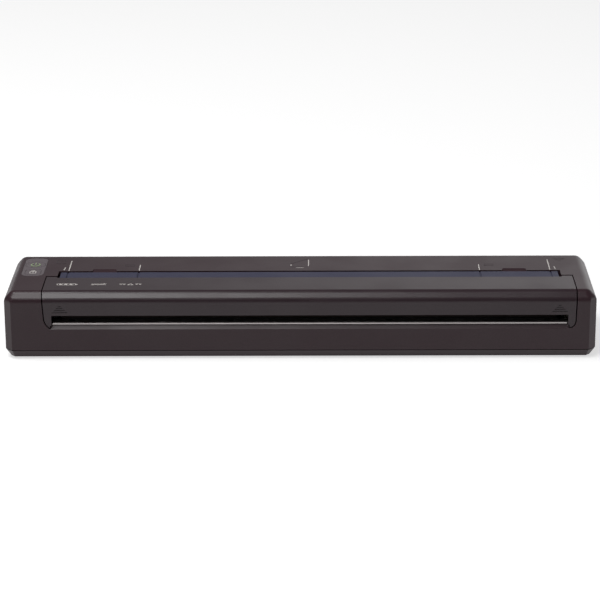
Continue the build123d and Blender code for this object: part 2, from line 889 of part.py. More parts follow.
def motor_axis():
    """The place of the motor's shaft in (Y, Z)."""
    y, z, teeth, phase = gear_train()["pinion"]
    return y, z


def motor():
    """The stepper motor: a round can on a flange with two ears."""
    y, z = motor_axis()
    flange_left = right_plate[0] - motor_flange
    can = rod_x(motor_radius, flange_left - motor_length, flange_left, y, z)
    plate = rod_x(motor_radius - 1, flange_left, right_plate[0], y, z)
    for ear_z in motor_ear_heights():
        plate += rod_x(2.2, flange_left, right_plate[0], y, ear_z)
    can += plate + rod_x(2.5, right_plate[0], right_plate[1], y, z)
    for ear_z in motor_ear_heights():
        can -= rod_x(0.9, flange_left - 1.5, right_plate[1], y, ear_z)
    return can - rod_x(motor_shaft_radius + running_gap, flange_left - 6, right_plate[1] + 1, y, z)


def motor_ear_heights():
    """The two screw holes of the motor's flange, above and below its shaft."""
    y, z = motor_axis()
    return (z - 7.4, z + 7.4)


def motor_shaft():
    """The motor's shaft."""
    y, z = motor_axis()
    return rod_x(motor_shaft_radius, right_plate[0] - motor_flange - 5.5, gear_right + 0.3, y, z)


def motor_screws():
    """Two screws that hold the motor on the frame plate."""
    y, z = motor_axis()
    screws = []
    for ear_z in motor_ear_heights():
        head = rod_x(1.7, right_plate[1], right_plate[1] + 1.0, y, ear_z)
        screws.append(head + rod_x(0.9, right_plate[0] - motor_flange - 1.2, right_plate[1] + 1.0, y, ear_z))
    return screws


def print_frame():
    """The steel channel that holds head, roller seats, gears and motor."""
    motor_y, motor_z = motor_axis()
    frame = slab(left_plate[0], right_plate[1], frame_front, frame_rear, frame_floor_low,
                 frame_floor_low + frame_plate)
    frame += slab(*left_plate, frame_front, frame_rear, frame_floor_low, platen_z)
    frame += slab(*right_plate, frame_front, frame_rear, frame_floor_low, platen_z)
    frame += slab(*right_plate, frame_rear, battery_rear - 1, frame_floor_low, lug_low - fit_gap)
    frame += slab(*right_plate, deck_edge + deck_lip + 0.6, battery_rear - 1, frame_floor_low,
                  motor_z + motor_radius)
    seat = bush_radius + bush_seat_gap
    frame -= rod_x(seat, left_plate[0] - 1, left_plate[1] + 1, platen_y, platen_z)
    frame -= rod_x(seat, right_plate[0] - 1, right_plate[1] + 1, platen_y, platen_z)
    for x, y in frame_screw_places():
        frame -= rod_z(0.8, x, y, frame_floor_low - 1, frame_floor_low + frame_plate + 1)
    frame -= rod_x(2.5, right_plate[0] - 1, right_plate[1] + 1, motor_y, motor_z)
    for ear_z in motor_ear_heights():
        frame -= rod_x(0.9, right_plate[0] - 1, right_plate[1] + 1, motor_y, ear_z)
    return frame


def screws_down(places, top, reach, radius=0.8):
    """Pan-head screws driven down into standoffs."""
    return [rod_z(2 * radius, x, y, top, top + 1.0) + rod_z(radius, x, y, top - reach, top + 1.0)
            for x, y in places]


def frame_screws():
    """Four screws that hold the print frame."""
    return screws_down(frame_screw_places(), frame_floor_low + frame_plate, 2.6)


def spring_places():
    """The row of springs under the head."""
    span = platen_right - platen_left
    return [platen_left + span * (i + 0.5) / spring_count for i in range(spring_count)]


def guide_pin_places():
    """The two pins that keep the head square."""
    return [platen_left + 3.5, platen_right - 3.5]


def head_middle():
    return (head_front + head_rear) / 2


def heat_sink():
    """The aluminium bar that carries the print head, with pockets for the springs."""
    bar = slab(platen_left, platen_right, head_front, head_rear, head_bottom, sink_top)
    for x in spring_places():
        bar -= rod_z(spring_coil_radius + spring_wire_radius + 0.3, x, head_middle(), head_bottom,
                     head_bottom + spring_pocket_depth)
    for x in guide_pin_places():
        bar -= rod_z(guide_pin_radius + small_gap, x, head_middle(), head_bottom, sink_top)
    return bar


def thermal_head():
    """The ceramic plate with the raised heater line under the roller."""
    plate = slab(platen_left, platen_right, head_front + substrate_margin, head_rear - substrate_margin,
                 sink_top, head_top - small_gap)
    return plate + slab(platen_left + 1, platen_right - 1, platen_y - 0.5, platen_y + 0.5, sink_top, head_top)


def driver_cover():
    """The black strip that covers the driver chips on the head."""
    rear_edge = head_rear - substrate_margin - 0.2
    low = head_top - small_gap
    return slab(platen_left + 4, platen_right - 4, rear_edge - driver_cover_depth, rear_edge, low,
                low + driver_cover_height)


def head_springs():
    """The compression springs that press the head up."""
    low = frame_floor_low + frame_plate
    high = head_bottom + spring_pocket_depth - head_travel - running_gap
    height = high - low - 2 * spring_wire_radius
    springs = []
    for x in spring_places():
        path = Helix(height / spring_turns, height, spring_coil_radius)
        wire = Plane(origin=path @ 0, z_dir=path % 0) * Circle(spring_wire_radius)
        coil = sweep(wire, path=path)
        springs.append(Pos(x, head_middle(), low + spring_wire_radius) * coil)
    return springs


def head_guide_pins():
    """Two pins that stand in the frame and guide the head."""
    low = frame_floor_low + frame_plate
    return [rod_z(guide_pin_radius, x, head_middle(), low, sink_top - head_travel - small_gap)
            for x in guide_pin_places()]


def lower_guide():
    """The curved guide behind the head that turns the paper under the roller."""
    cy, cz = channel_centre()
    outer = channel_radius + deck_lip
    top = deck_lip_low - fit_gap
    start = head_rear + 0.4
    edges = [
        Line((deck_edge, top), (deck_edge, cz)),
        RadiusArc((deck_edge, cz), (cy, channel_floor), channel_radius),
        Line((cy, channel_floor), (start, channel_floor)),
        Line((start, channel_floor), (start, channel_floor - deck_lip)),
        Line((start, channel_floor - deck_lip), (cy, channel_floor - deck_lip)),
        RadiusArc((cy, channel_floor - deck_lip), (deck_edge + deck_lip, cz), -outer),
        Line((deck_edge + deck_lip, cz), (deck_edge + deck_lip, top)),
        Line((deck_edge + deck_lip, top), (deck_edge, top)),
    ]
    guide = along_x(make_face(edges), left_plate[1] + fit_gap, right_plate[0] - fit_gap)
    for i in range(5):
        x = left_plate[1] + 10 + i * (right_plate[0] - left_plate[1] - 20) / 4
        guide += slab(x - 0.8, x + 0.8, cy - 1.5, cy + 2.5, floor_top, channel_floor - deck_lip / 2)
    window = sensor_box()
    return guide - slab(window[0] + 1, window[1] - 1, window[2] + 0.8, window[3] - 0.8, 10, 20)


def sensor_box():
    """The place of the paper sensor, under the lower guide."""
    middle = paper_centre + 20.0
    return (middle - 2.5, middle + 2.5, channel_centre()[0] - 4.0, channel_centre()[0] - 1.0)


def paper_sensor():
    """The reflective sensor that sees the paper through a window in the guide."""
    top = channel_floor - deck_lip
    return slab(*sensor_box(), top - 2.2, top)


def battery_pack():
    """Three round cells in one sleeve, as a block with rounded edges."""
    block = slab(battery_left, battery_right, battery_front, battery_rear, battery_low, battery_high)
    return fillet(block.edges().filter_by(Axis.X), battery_rounding)


def battery_contacts():
    """The contact block at the end of the battery, with three sprung blades."""
    x = battery_right + fit_gap
    middle = (battery_front + battery_rear) / 2
    block = slab(x + 0.6, x + 2.4, middle - 6, middle + 6, battery_low, battery_low + 9)
    for i in (-1, 0, 1):
        block += slab(x, x + 0.7, middle + 4 * i - 0.8, middle + 4 * i + 0.8, battery_low + 4, battery_low + 8)
    return block


def battery_door():
    """The flap in the rear wall, with a pin at each lower corner and a thumb recess."""
    door = slab(door_left, door_right, rear - wall, rear, door_low, door_high)
    door += rod_x(door_pin_radius, door_left - 1.4, door_right + 1.4, door_pin_y, door_pin_z)
    middle = (door_left + door_right) / 2
    return door - slab(middle - 9, middle + 9, rear - 0.8, rear + 1, door_high - 3.5, door_high + 1)


def board(box, screw_places, low=None):
    """A circuit board with its screw holes."""
    low = board_low if low is None else low
    plate = slab(*box, low, low + board_thickness)
    for x, y in screw_places:
        plate -= rod_z(0.8, x, y, low - 1, low + board_thickness + 1)
    return plate


def main_board():
    """The board in the left end, with both ports."""
    return board(main_board_box, board_screw_places()[:2])


def driver_board():
    """The motor driver's board, beside the motor."""
    return board(driver_board_box, board_screw_places()[2:])


def board_screws():
    """Screws that hold both boards."""
    return screws_down(board_screw_places(), board_low + board_thickness, 3.6)


def board_parts():
    """Chips, coils and connectors on the two boards."""
    top = board_low + board_thickness
    x0, x1, y0, y1 = main_board_box
    parts = [
        slab(x1 - 4.6, x1 - 0.6, cable_y() - 3.2, cable_y() - small_gap, top, top + 6.0),
        slab(x1 - 5.4, x1 - 1.0, 7.5, 12.5, top, top + 1.2),
        slab(x1 - 5.0, x1 - 2.0, 14.0, 17.6, top, top + 3.0),
        rod_z(2.4, x1 - 8.0, 18.0, top, top + 6.5),
    ]
    x0, x1, y0, y1 = driver_board_box
    parts += [
        slab(x0 + 0.5, x0 + 7.5, y0, y0 + 3.0, top, top + 6.0),
        slab(x0 + 2, x0 + 9, y0 + 4.5, y0 + 11, top, top + 1.2),
        slab(x0 + 12, x0 + 18, y0 + 0.6, y0 + 4.6, top, top + 3.5),
        rod_z(2.8, x0 + 14, y0 + 9, top, top + 7),
    ]
    return parts


def usb_port():
    """The data socket at the left end, a folded steel shell round a tongue."""
    x0 = -half_length + 0.3
    low = board_low + board_thickness
    shell = slab(x0, x0 + 7.3, usb_y - usb_width / 2, usb_y + usb_width / 2, low, low + usb_height)
    shell -= slab(x0 - 1, x0 + 6.0, usb_y - usb_width / 2 + 0.4, usb_y + usb_width / 2 - 0.4,
                  low + 0.4, low + usb_height - 0.4)
    tongue = slab(x0 + 1.0, x0 + 6.5, usb_y - 3.3, usb_y + 3.3, low + usb_height / 2 - 0.4,
                  low + usb_height / 2 + 0.4)
    return shell + tongue


def dc_jack():
    """The power socket: a block with a round bore and a centre pin."""
    x0 = -half_length + wall + 0.4
    low = board_low + board_thickness
    block = slab(x0, x0 + 10.5, jack_y - jack_width / 2, jack_y + jack_width / 2, low, low + jack_height)
    block -= rod_x(jack_bore, x0 - 1, x0 + 8.5, jack_y, low + jack_height / 2)
    return block + rod_x(0.8, x0 + 1, x0 + 9, jack_y, low + jack_height / 2)


def button_bezel():
    """The light pad that frames the two keys, flush with the deck."""
    pad = raised(pad_outline(0), body_height - pad_thickness, body_height)
    for outline in (power_outline(button_gap), feed_outline(button_gap)):
        pad -= raised(outline, body_height - pad_thickness - 1, body_height + 1)
    return pad


def button(outline, x, y):
    """One key: its cap, the flange under the deck and the stem over the switch."""
    flange_top = deck_under - small_gap
    key = raised(outline(0), flange_top - button_flange, body_height)
    key += raised(outline(button_flange_reach), flange_top - button_flange, flange_top)
    return key + rod_z(button_stem_radius, x, y, button_stem_low, flange_top)


def power_button():
    """The round power key, with a shallow dish."""
    dish_radius = 24.0
    dish = Pos(power_x, power_y, body_height + dish_radius - 0.3) * Sphere(dish_radius)
    return button(power_outline, power_x, power_y) - dish


def feed_button():
    """The feed key."""
    return button(feed_outline, power_x, feed_y)


def button_board():
    """The small board under the keys."""
    box = (pad_left - 0.6, pad_right - 0.8, pad_front - 3.9, pad_rear + 0.4)
    return board(box, button_board_screw_places(), button_board_top - board_thickness)


def button_switches():
    """One tact switch under each key."""
    switches = []
    for y in (power_y, feed_y):
        half = switch_size / 2
        body = slab(power_x - half, power_x + half, y - half, y + half, button_board_top,
                    button_board_top + switch_height)
        top = button_board_top + switch_height
        switches.append(body + rod_z(1.2, power_x, y, top, top + plunger_height))
    return switches


def button_board_screws():
    """Two screws that hold the button board, driven up from below."""
    low = button_board_top - board_thickness
    return [rod_z(1.6, x, y, low - 1.0, low) + rod_z(0.8, x, y, low - 1.0, low + 4.5)
            for x, y in button_board_screw_places()]


def cable_y():
    """The front face of the flat cable, which lies against the battery."""
    return battery_front - small_gap - cable_thickness


def board_cable():
    """The flat cable between the two boards, laid along the battery."""
    low = board_low + board_thickness
    return slab(main_board_box[1] - 3.0, driver_board_box[0] + 5.0, cable_y(), cable_y() + cable_thickness,
                low, low + cable_width)


NODES = {
    "bottom_case": bottom_case,
    "upper_case": upper_case,
    "feet": feet,
    "case_screws": case_screws,
    "release_cover": release_cover,
    "paper_guide": paper_guide,
    "guide_screws": guide_screws,
    "hinge_pins": hinge_pins,
    "light_pipes": light_pipes,
    "tear_bar": tear_bar,
    "tear_bar_screws": tear_bar_screws,
    "platen_shaft": platen_shaft,
    "platen_rubber": platen_rubber,
    "platen_bushes": platen_bushes,
    "platen_gear": lambda: gear("platen", platen_journal_radius),
    "drive_gear": lambda: gear("drive", stud_radius + running_gap),
    "idler_gear": lambda: gear("idler", stud_radius + running_gap),
    "motor_pinion": lambda: gear("pinion", motor_shaft_radius),
    "gear_studs": gear_studs,
    "gear_clips": gear_clips,
    "motor": motor,
    "motor_shaft": motor_shaft,
    "motor_screws": motor_screws,
    "print_frame": print_frame,
    "frame_screws": frame_screws,
    "heat_sink": heat_sink,
    "thermal_head": thermal_head,
    "driver_cover": driver_cover,
    "head_springs": head_springs,
    "head_guide_pins": head_guide_pins,
    "lower_guide": lower_guide,
    "paper_sensor": paper_sensor,
    "battery_pack": battery_pack,
    "battery_contacts": battery_contacts,
    "battery_door": battery_door,
    "main_board": main_board,
    "driver_board": driver_board,
    "board_screws": board_screws,
    "board_parts": board_parts,
    "board_cable": board_cable,
    "usb_port": usb_port,
    "dc_jack": dc_jack,
    "button_bezel": button_bezel,
    "power_button": power_button,
    "feed_button": feed_button,
    "button_board": button_board,
    "button_switches": button_switches,
    "button_board_screws": button_board_screws,
}


def as_solids(shape):
    """Every solid of a shape or of a list of shapes."""
    shapes = shape if isinstance(shape, (list, tuple)) else [shape]
    return [solid for piece in shapes for solid in piece.solids()]


def main():
    """Write one STEP file for each node."""
    os.makedirs("parts", exist_ok=True)
    for name, make in NODES.items():
        solids = as_solids(make())
        shape = solids[0] if len(solids) == 1 else Compound(children=solids)
        export_step(shape, f"parts/{name}.step")


main()
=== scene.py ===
"""Dresses an A4 portable thermal printer: its finishes, printed marks and a plain studio."""
import math

import bmesh
import bpy
from bpy.props import FloatProperty, FloatVectorProperty, PointerProperty
from mathutils import Matrix, Vector


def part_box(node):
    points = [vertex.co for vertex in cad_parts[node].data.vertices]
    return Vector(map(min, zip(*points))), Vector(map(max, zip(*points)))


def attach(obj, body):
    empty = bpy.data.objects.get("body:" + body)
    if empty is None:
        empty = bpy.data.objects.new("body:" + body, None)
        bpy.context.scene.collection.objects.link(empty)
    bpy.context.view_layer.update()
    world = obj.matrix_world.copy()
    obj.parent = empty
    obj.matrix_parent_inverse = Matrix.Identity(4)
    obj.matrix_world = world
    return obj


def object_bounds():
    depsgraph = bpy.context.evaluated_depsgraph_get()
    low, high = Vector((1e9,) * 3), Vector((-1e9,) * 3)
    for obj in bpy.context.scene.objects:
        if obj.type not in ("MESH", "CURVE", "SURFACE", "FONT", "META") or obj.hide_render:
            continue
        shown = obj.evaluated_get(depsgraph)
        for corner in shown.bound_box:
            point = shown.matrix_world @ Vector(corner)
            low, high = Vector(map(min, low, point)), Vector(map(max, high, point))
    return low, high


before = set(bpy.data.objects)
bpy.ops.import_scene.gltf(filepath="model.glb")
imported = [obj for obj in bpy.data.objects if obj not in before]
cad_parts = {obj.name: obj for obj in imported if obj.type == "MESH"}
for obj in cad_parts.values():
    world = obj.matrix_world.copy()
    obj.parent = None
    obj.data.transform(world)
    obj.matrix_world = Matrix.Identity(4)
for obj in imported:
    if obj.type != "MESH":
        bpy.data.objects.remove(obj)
CAD_LOW, CAD_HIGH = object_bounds()

bl_info = {
    "name": "Portable thermal printer",
    "version": (1, 0, 0),
    "blender": (4, 5, 0),
    "location": "View3D > Sidebar > Printer",
    "description": "Finishes, printed marks and studio for a portable thermal printer",
    "category": "Object",
}

MM = 0.001
DECK = CAD_HIGH.z

# Most of a noise lies between these two values
NOISE_LOW = 0.3
NOISE_HIGH = 0.7

# Broad uneven sheen of moulded plastic: its size, and how far the roughness goes up and down
MOTTLE_SIZE = 22 * MM
MOTTLE_DEPTH = 0.03

# Line widths and places of the printed shapes, in millimetres
FINE = 0.35
STROKE = 0.4
MEDIUM = 0.45
BOLD = 0.55
STATUS_ROW = -15.2
BATTERY_AT = -100.9
ARROWS_AT = -87.3
ALERT_AT = -73.5
RING_RADIUS = 1.9
POWER_DISH = 0.3
MARK_GAP = 1.5
WIDE_MARK_REACH = 14.5
NARROW_MARK_REACH = 8.0
MIDDLE_MARK_AT = 3.54
MIDDLE_MARK_FRONT = 10
MIDDLE_MARK_REAR = 18.8

# The studio, in metres and shares of white
FLOOR_REACH = 6.0
FLOOR_PAPER = 0.55
FLOOR_BOUNCE = 0.28
FLOOR_LIFT = 0.15
BACKDROP_LEFT = 0.3
BACKDROP_RIGHT = 1.0
BACKDROP_ACROSS = (-0.12, 0.12)
BACKDROP_BEHIND = (-0.1, 0.3)
BACKDROP_TOP = (0.24, 0.5)
OVERHEAD_PLACE = (-0.4, -0.2, 1.2)
OVERHEAD_SIZE = (1.05, 0.6)
SIDE_PLACE = (1.2, -0.12, 0.12)
SIDE_TARGET = (0.1, 0, 0.02)
SIDE_SIZE = (0.5, 0.35)
FILM_WIDTH = 36.0
SIGHT = 20.0


def tone(red, green, blue):
    """A display colour from 0 to 255 as the linear colour that shaders use."""
    shares = (red / 255, green / 255, blue / 255)
    return tuple(c / 12.92 if c <= 0.04045 else ((c + 0.055) / 1.055) ** 2.4 for c in shares)


def colour_property(name, description, default):
    """A colour that the panel shows."""
    return FloatVectorProperty(
        name=name, description=description, subtype="COLOR", size=3, min=0, max=1, default=default
    )


class CaseSettings(bpy.types.PropertyGroup):
    """Colours and grain of the casings"""
    deck_colour: colour_property("Deck", "Moulded plastic of both cases", tone(53, 35, 41))
    cover_colour: colour_property("Cover", "Moulded plastic of the release cover", tone(49, 35, 41))
    guide_colour: colour_property("Paper guide", "Dark blue plastic of the paper guide", tone(56, 56, 78))
    pad_colour: colour_property("Key pad", "Grey plastic of the pad and keys", tone(101, 93, 97))
    grain_size: FloatProperty(
        name="Grain", description="Width of one grain of the moulded texture",
        default=0.35 * MM, min=0.05 * MM, unit="LENGTH",
    )
    grain_depth: FloatProperty(
        name="Grain depth", description="Height of the moulded texture",
        default=0.006 * MM, min=0, unit="LENGTH",
    )


class InkSettings(bpy.types.PropertyGroup):
    """Printed marks and symbols"""
    white_ink: colour_property("White ink", "Paper marks and symbols", tone(206, 201, 197))
    green_ink: colour_property("Green ink", "Power symbol", tone(150, 165, 132))
    ink_height: FloatProperty(
        name="Ink height", description="Thickness of the printed ink",
        default=0.03 * MM, min=0.005 * MM, unit="LENGTH",
    )
    mark_width: FloatProperty(
        name="Mark width", description="Width of a paper mark", default=0.42 * MM, unit="LENGTH",
    )
    paper_centre: FloatProperty(
        name="Paper centre", description="Middle of the paper path along X",
        default=3.9 * MM, unit="LENGTH",
    )
    wide_paper: FloatProperty(
        name="Wide paper", description="Distance between the outer paper marks",
        default=211.9 * MM, unit="LENGTH",
    )
    narrow_paper: FloatProperty(
        name="Narrow paper", description="Distance between the inner paper marks",
        default=149.9 * MM, unit="LENGTH",
    )


class StudioSettings(bpy.types.PropertyGroup):
    """Camera and light"""
    lens: FloatProperty(name="Lens", description="Focal length in millimetres", default=145.1)
    distance: FloatProperty(
        name="Distance", description="From the target to the camera", default=1.0658, unit="LENGTH"
    )
    tilt: FloatProperty(
        name="Tilt", description="Camera above the horizon",
        default=math.radians(18.68), subtype="ANGLE",
    )
    swing: FloatProperty(
        name="Swing", description="Camera turned about the vertical",
        default=math.radians(0.494), subtype="ANGLE",
    )
    roll: FloatProperty(
        name="Roll", description="Camera turned about its own axis",
        default=math.radians(0.298), subtype="ANGLE",
    )
    target_side: FloatProperty(
        name="Target side", description="Distance of the point looked at from the middle",
        default=-0.2 * MM, unit="LENGTH",
    )
    target_height: FloatProperty(
        name="Target height", description="Height that the camera looks at",
        default=17.47 * MM, unit="LENGTH",
    )
    overhead_power: FloatProperty(name="Overhead lamp", description="Power in watts", default=12.0)
    side_power: FloatProperty(name="Side lamp", description="Power in watts", default=1.2)
    ambient: FloatProperty(name="Ambient", description="Light from all round", default=0.24)
    dark_room: FloatProperty(
        name="Dark room", description="Reflected light away from the backdrop", default=0.12,
    )


def case_settings():
    return bpy.context.scene.printer_case


def ink_settings():
    return bpy.context.scene.printer_ink


def studio_settings():
    return bpy.context.scene.printer_studio


# Finishes

class Finish:
    """One material's node tree, with short calls to add nodes and join them."""

    def __init__(self, name):
        self.material = bpy.data.materials.new(name)
        self.material.use_nodes = True
        self.nodes = self.material.node_tree.nodes
        self.links = self.material.node_tree.links
        self.shader = self.nodes["Principled BSDF"]
        self.place = self.add("ShaderNodeTexCoord").outputs["Object"]

    def add(self, kind, inputs=None, **options):
        """A new node with its options set and its inputs set or linked."""
        node = self.nodes.new(kind)
        for key, value in options.items():
            setattr(node, key, value)
        for key, value in (inputs or {}).items():
            if isinstance(value, bpy.types.NodeSocket):
                self.links.new(value, node.inputs[key])
            else:
                node.inputs[key].default_value = value
        return node

    def noise(self, size, detail=2.0, stretch=(1, 1, 1)):
        """Cloudy values whose blobs are about as wide as size."""
        place = self.add("ShaderNodeMapping", {"Vector": self.place, "Scale": stretch})
        inputs = {"Vector": place.outputs["Vector"], "Scale": 1 / size, "Detail": detail}
        return self.add("ShaderNodeTexNoise", inputs).outputs["Fac"]

    def spread(self, value, low, high):
        """Values round the middle of a noise, spread to run from low to high."""
        inputs = {"Value": value, "From Min": NOISE_LOW, "From Max": NOISE_HIGH}
        inputs.update({"To Min": low, "To Max": high})
        node = self.add("ShaderNodeMapRange", inputs, interpolation_type="SMOOTHSTEP")
        return node.outputs["Result"]

    def tint(self, colour, share, value):
        """The colour, a share lighter and darker with the value."""
        dark = (*[c * (1 - share) for c in colour], 1)
        light = (*[min(1, c * (1 + share)) for c in colour], 1)
        factor = self.spread(value, 0, 1)
        mix = self.add("ShaderNodeMix", {"Factor": factor, "A": dark, "B": light}, data_type="RGBA")
        return mix.outputs["Result"]

    def bump(self, height, depth, strength=1.0):
        """Raises the surface by the depth where the height is 1."""
        inputs = {"Height": height, "Distance": depth, "Strength": strength}
        normal = self.add("ShaderNodeBump", inputs).outputs["Normal"]
        self.links.new(normal, self.shader.inputs["Normal"])

    def set(self, **values):
        """Sets or links the shader's sockets, whose names are given with underscores."""
        for key, value in values.items():
            socket = self.shader.inputs[key.replace("_", " ")]
            if isinstance(value, bpy.types.NodeSocket):
                self.links.new(value, socket)
            else:
                socket.default_value = value


def moulded_plastic(name, colour, roughness=0.36, gloss=0.36):
    """Spark-eroded moulded plastic: fine grain, faint mottling and uneven sheen."""
    case = case_settings()
    finish = Finish(name)
    fine = finish.noise(case.grain_size, 3)
    broad = finish.noise(MOTTLE_SIZE, 2)
    finish.set(Base_Color=finish.tint(colour, 0.1, fine))
    rough = finish.spread(broad, roughness - MOTTLE_DEPTH, roughness + MOTTLE_DEPTH)
    finish.set(Roughness=rough, Specular_IOR_Level=gloss)
    finish.bump(fine, case.grain_depth)
    return finish.material


def smooth_plastic(name, colour, roughness=0.33):
    """Plain moulded plastic with a faint flow pattern."""
    finish = Finish(name)
    flow = finish.noise(6 * MM, 3)
    finish.set(Base_Color=finish.tint(colour, 0.04, flow))
    finish.set(Roughness=finish.spread(flow, roughness - 0.04, roughness + 0.06))
    finish.bump(flow, 0.01 * MM, 0.4)
    return finish.material


def brushed_metal(name, colour, roughness=0.34, stretch=(0.04, 1, 1), line=0.3 * MM):
    """Rolled or drawn metal with fine lines along X."""
    finish = Finish(name)
    lines = finish.noise(line, 2, stretch)
    finish.set(Base_Color=finish.tint(colour, 0.07, lines), Metallic=1.0)
    finish.set(Roughness=finish.spread(lines, roughness - 0.05, roughness + 0.08))
    finish.bump(lines, 0.008 * MM, 0.5)
    return finish.material


def soft_rubber(name, colour):
    """Ground rubber: dull, with a fine sanded grain."""
    finish = Finish(name)
    grain = finish.noise(0.25 * MM, 3)
    finish.set(Base_Color=finish.tint(colour, 0.15, grain), Roughness=0.8, Specular_IOR_Level=0.3)
    finish.bump(grain, 0.02 * MM)
    return finish.material


def glazed_ceramic(name, colour):
    """The head's glazed plate."""
    finish = Finish(name)
    cloud = finish.noise(3 * MM, 2)
    finish.set(Base_Color=finish.tint(colour, 0.05, cloud), Roughness=0.15)
    finish.set(Coat_Weight=0.4, Coat_Roughness=0.08)
    return finish.material


def circuit_board(name, colour):
    """Solder mask with the copper tracks showing through as paler lines."""
    finish = Finish(name)
    tracks = finish.add(
        "ShaderNodeTexBrick",
        {"Vector": finish.place, "Scale": 450.0, "Mortar Size": 0.06, "Mortar Smooth": 0.2,
         "Color1": (*colour, 1), "Color2": (*[c * 0.82 for c in colour], 1),
         "Mortar": (*[min(1, c * 1.7) for c in colour], 1)},
    )
    finish.set(Base_Color=tracks.outputs["Color"], Roughness=0.3, Coat_Weight=0.3)
    finish.bump(tracks.outputs["Fac"], 0.02 * MM, 0.5)
    return finish.material


def printed_ink(name, colour):
    """Pad-printed ink, a little uneven."""
    finish = Finish(name)
    patch = finish.noise(0.5 * MM, 2)
    finish.set(Base_Color=finish.tint(colour, 0.08, patch), Roughness=0.55)
    return finish.material


def dress(material, *nodes):
    """Gives CAD nodes a finish."""
    for name in nodes:
        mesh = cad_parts[name].data
        mesh.materials.clear()
        mesh.materials.append(material)


# Printed shapes: strokes on the deck, as thin raised ink

def bar(start, end, width):
    """A straight stroke as a four-sided outline."""
    start, end = Vector(start), Vector(end)
    side = (end - start).normalized().orthogonal() * width / 2
    return [start - side, end - side, end + side, start + side]


def arc(centre, radius, width, first, last, steps=24):
    """A curved stroke as a list of four-sided outlines."""
    centre = Vector(centre)
    outlines = []
    for i in range(steps):
        a = math.radians(first + (last - first) * i / steps)
        b = math.radians(first + (last - first) * (i + 1) / steps)
        ray_a = Vector((math.cos(a), math.sin(a)))
        ray_b = Vector((math.cos(b), math.sin(b)))
        inner, outer = radius - width / 2, radius + width / 2
        outlines.append(
            [centre + ray_a * inner, centre + ray_a * outer, centre + ray_b * outer, centre + ray_b * inner]
        )
    return outlines


def loop(points, width):
    """A closed line of straight strokes through the points."""
    return [bar(points[i - 1], points[i], width) for i in range(len(points))]


def frame_of(x0, y0, x1, y1, width):
    """A rectangle drawn as four strokes."""
    return loop([(x0, y0), (x1, y0), (x1, y1), (x0, y1)], width)


def ink_piece(name, outlines, material, body, low=None, height=None):
    """Thin raised ink from outlines on a level face, in metres."""
    low = DECK if low is None else low
    height = height or ink_settings().ink_height
    mesh = bpy.data.meshes.new(name)
    shape = bmesh.new()
    for outline in outlines:
        bottom = [shape.verts.new((p[0], p[1], low)) for p in outline]
        top = [shape.verts.new((p[0], p[1], low + height)) for p in outline]
        shape.faces.new(top)
        shape.faces.new(list(reversed(bottom)))
        for i in range(len(outline)):
            j = (i + 1) % len(outline)
            shape.faces.new((bottom[i], bottom[j], top[j], top[i]))
    bmesh.ops.recalc_face_normals(shape, faces=shape.faces)
    shape.to_mesh(mesh)
    shape.free()
    mesh.materials.append(material)
    piece = bpy.data.objects.new(name, mesh)
    bpy.context.scene.collection.objects.link(piece)
    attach(piece, body)
    return piece


def scaled(outlines):
    """Outlines written in millimetres, in metres."""
    return [[Vector((p[0], p[1])) * MM for p in outline] for outline in outlines]


class PrinterOperator:
    """What every operator here shares."""
    bl_options = {"REGISTER", "UNDO"}

    def execute(self, context):
        self.make()
        return {"FINISHED"}


class PRINTER_OT_cases(PrinterOperator, bpy.types.Operator):
    """Finish both cases, the release cover and the battery door"""
    bl_idname = "printer.cases"
    bl_label = "Cases and cover"

    def make(self):
        case = case_settings()
        shell = moulded_plastic("case_plastic", case.deck_colour)
        dress(shell, "upper_case", "bottom_case", "battery_door")
        dress(moulded_plastic("cover_plastic", case.cover_colour, 0.31, gloss=0.43), "release_cover")
        dress(soft_rubber("foot_rubber", tone(34, 33, 34)), "feet")


class PRINTER_OT_paper_guide(PrinterOperator, bpy.types.Operator):
    """Finish the dark blue paper guide and the guide under it"""
    bl_idname = "printer.paper_guide"
    bl_label = "Paper guides"

    def make(self):
        case = case_settings()
        dress(moulded_plastic("guide_plastic", case.guide_colour, 0.45, gloss=0.2), "paper_guide")
        # The lower guide is black plastic; it is given a light grey here as painted light in the shaded
        # slot.
        dress(smooth_plastic("inner_plastic_painted_light", tone(84, 80, 84), 0.4), "lower_guide")


class PRINTER_OT_keys(PrinterOperator, bpy.types.Operator):
    """Finish the key pad and print the symbols on both keys"""
    bl_idname = "printer.keys"
    bl_label = "Keys"

    def make(self):
        case = case_settings()
        ink = ink_settings()
        pad = moulded_plastic("pad_plastic", case.pad_colour, 0.5)
        dress(pad, "button_bezel", "power_button", "feed_button")
        self.power_symbol(ink)
        self.feed_symbol(ink)

    def power_symbol(self, ink):
        """An open ring with a stroke in its gap, at the bottom of the key's dish."""
        low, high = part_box("power_button")
        x, y = (low.x + high.x) / 2 / MM, (low.y + high.y) / 2 / MM
        strokes = arc((x, y), RING_RADIUS, BOLD, 125, 415)
        strokes.append(bar((x, y + 0.3), (x, y + 2.5), BOLD))
        green = printed_ink("green_ink", ink.green_ink)
        low = DECK - POWER_DISH * MM
        height = (POWER_DISH + 0.01) * MM
        piece = ink_piece("power_symbol", scaled(strokes), green, "power_key", low, height)

    def feed_symbol(self, ink):
        """A sheet with an arrow out of it."""
        low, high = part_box("feed_button")
        x, y = (low.x + high.x) / 2 / MM, (low.y + high.y) / 2 / MM
        strokes = frame_of(x - 1.3, y - 1.9, x + 1.3, y + 0.6, FINE)
        strokes.append(bar((x, y - 0.9), (x, y + 2.1), STROKE))
        strokes += [bar((x, y + 2.2), (x + side * 0.9, y + 1.2), STROKE) for side in (-1, 1)]
        white = printed_ink("white_ink_keys", ink.white_ink)
        piece = ink_piece("feed_symbol", scaled(strokes), white, "feed_key")


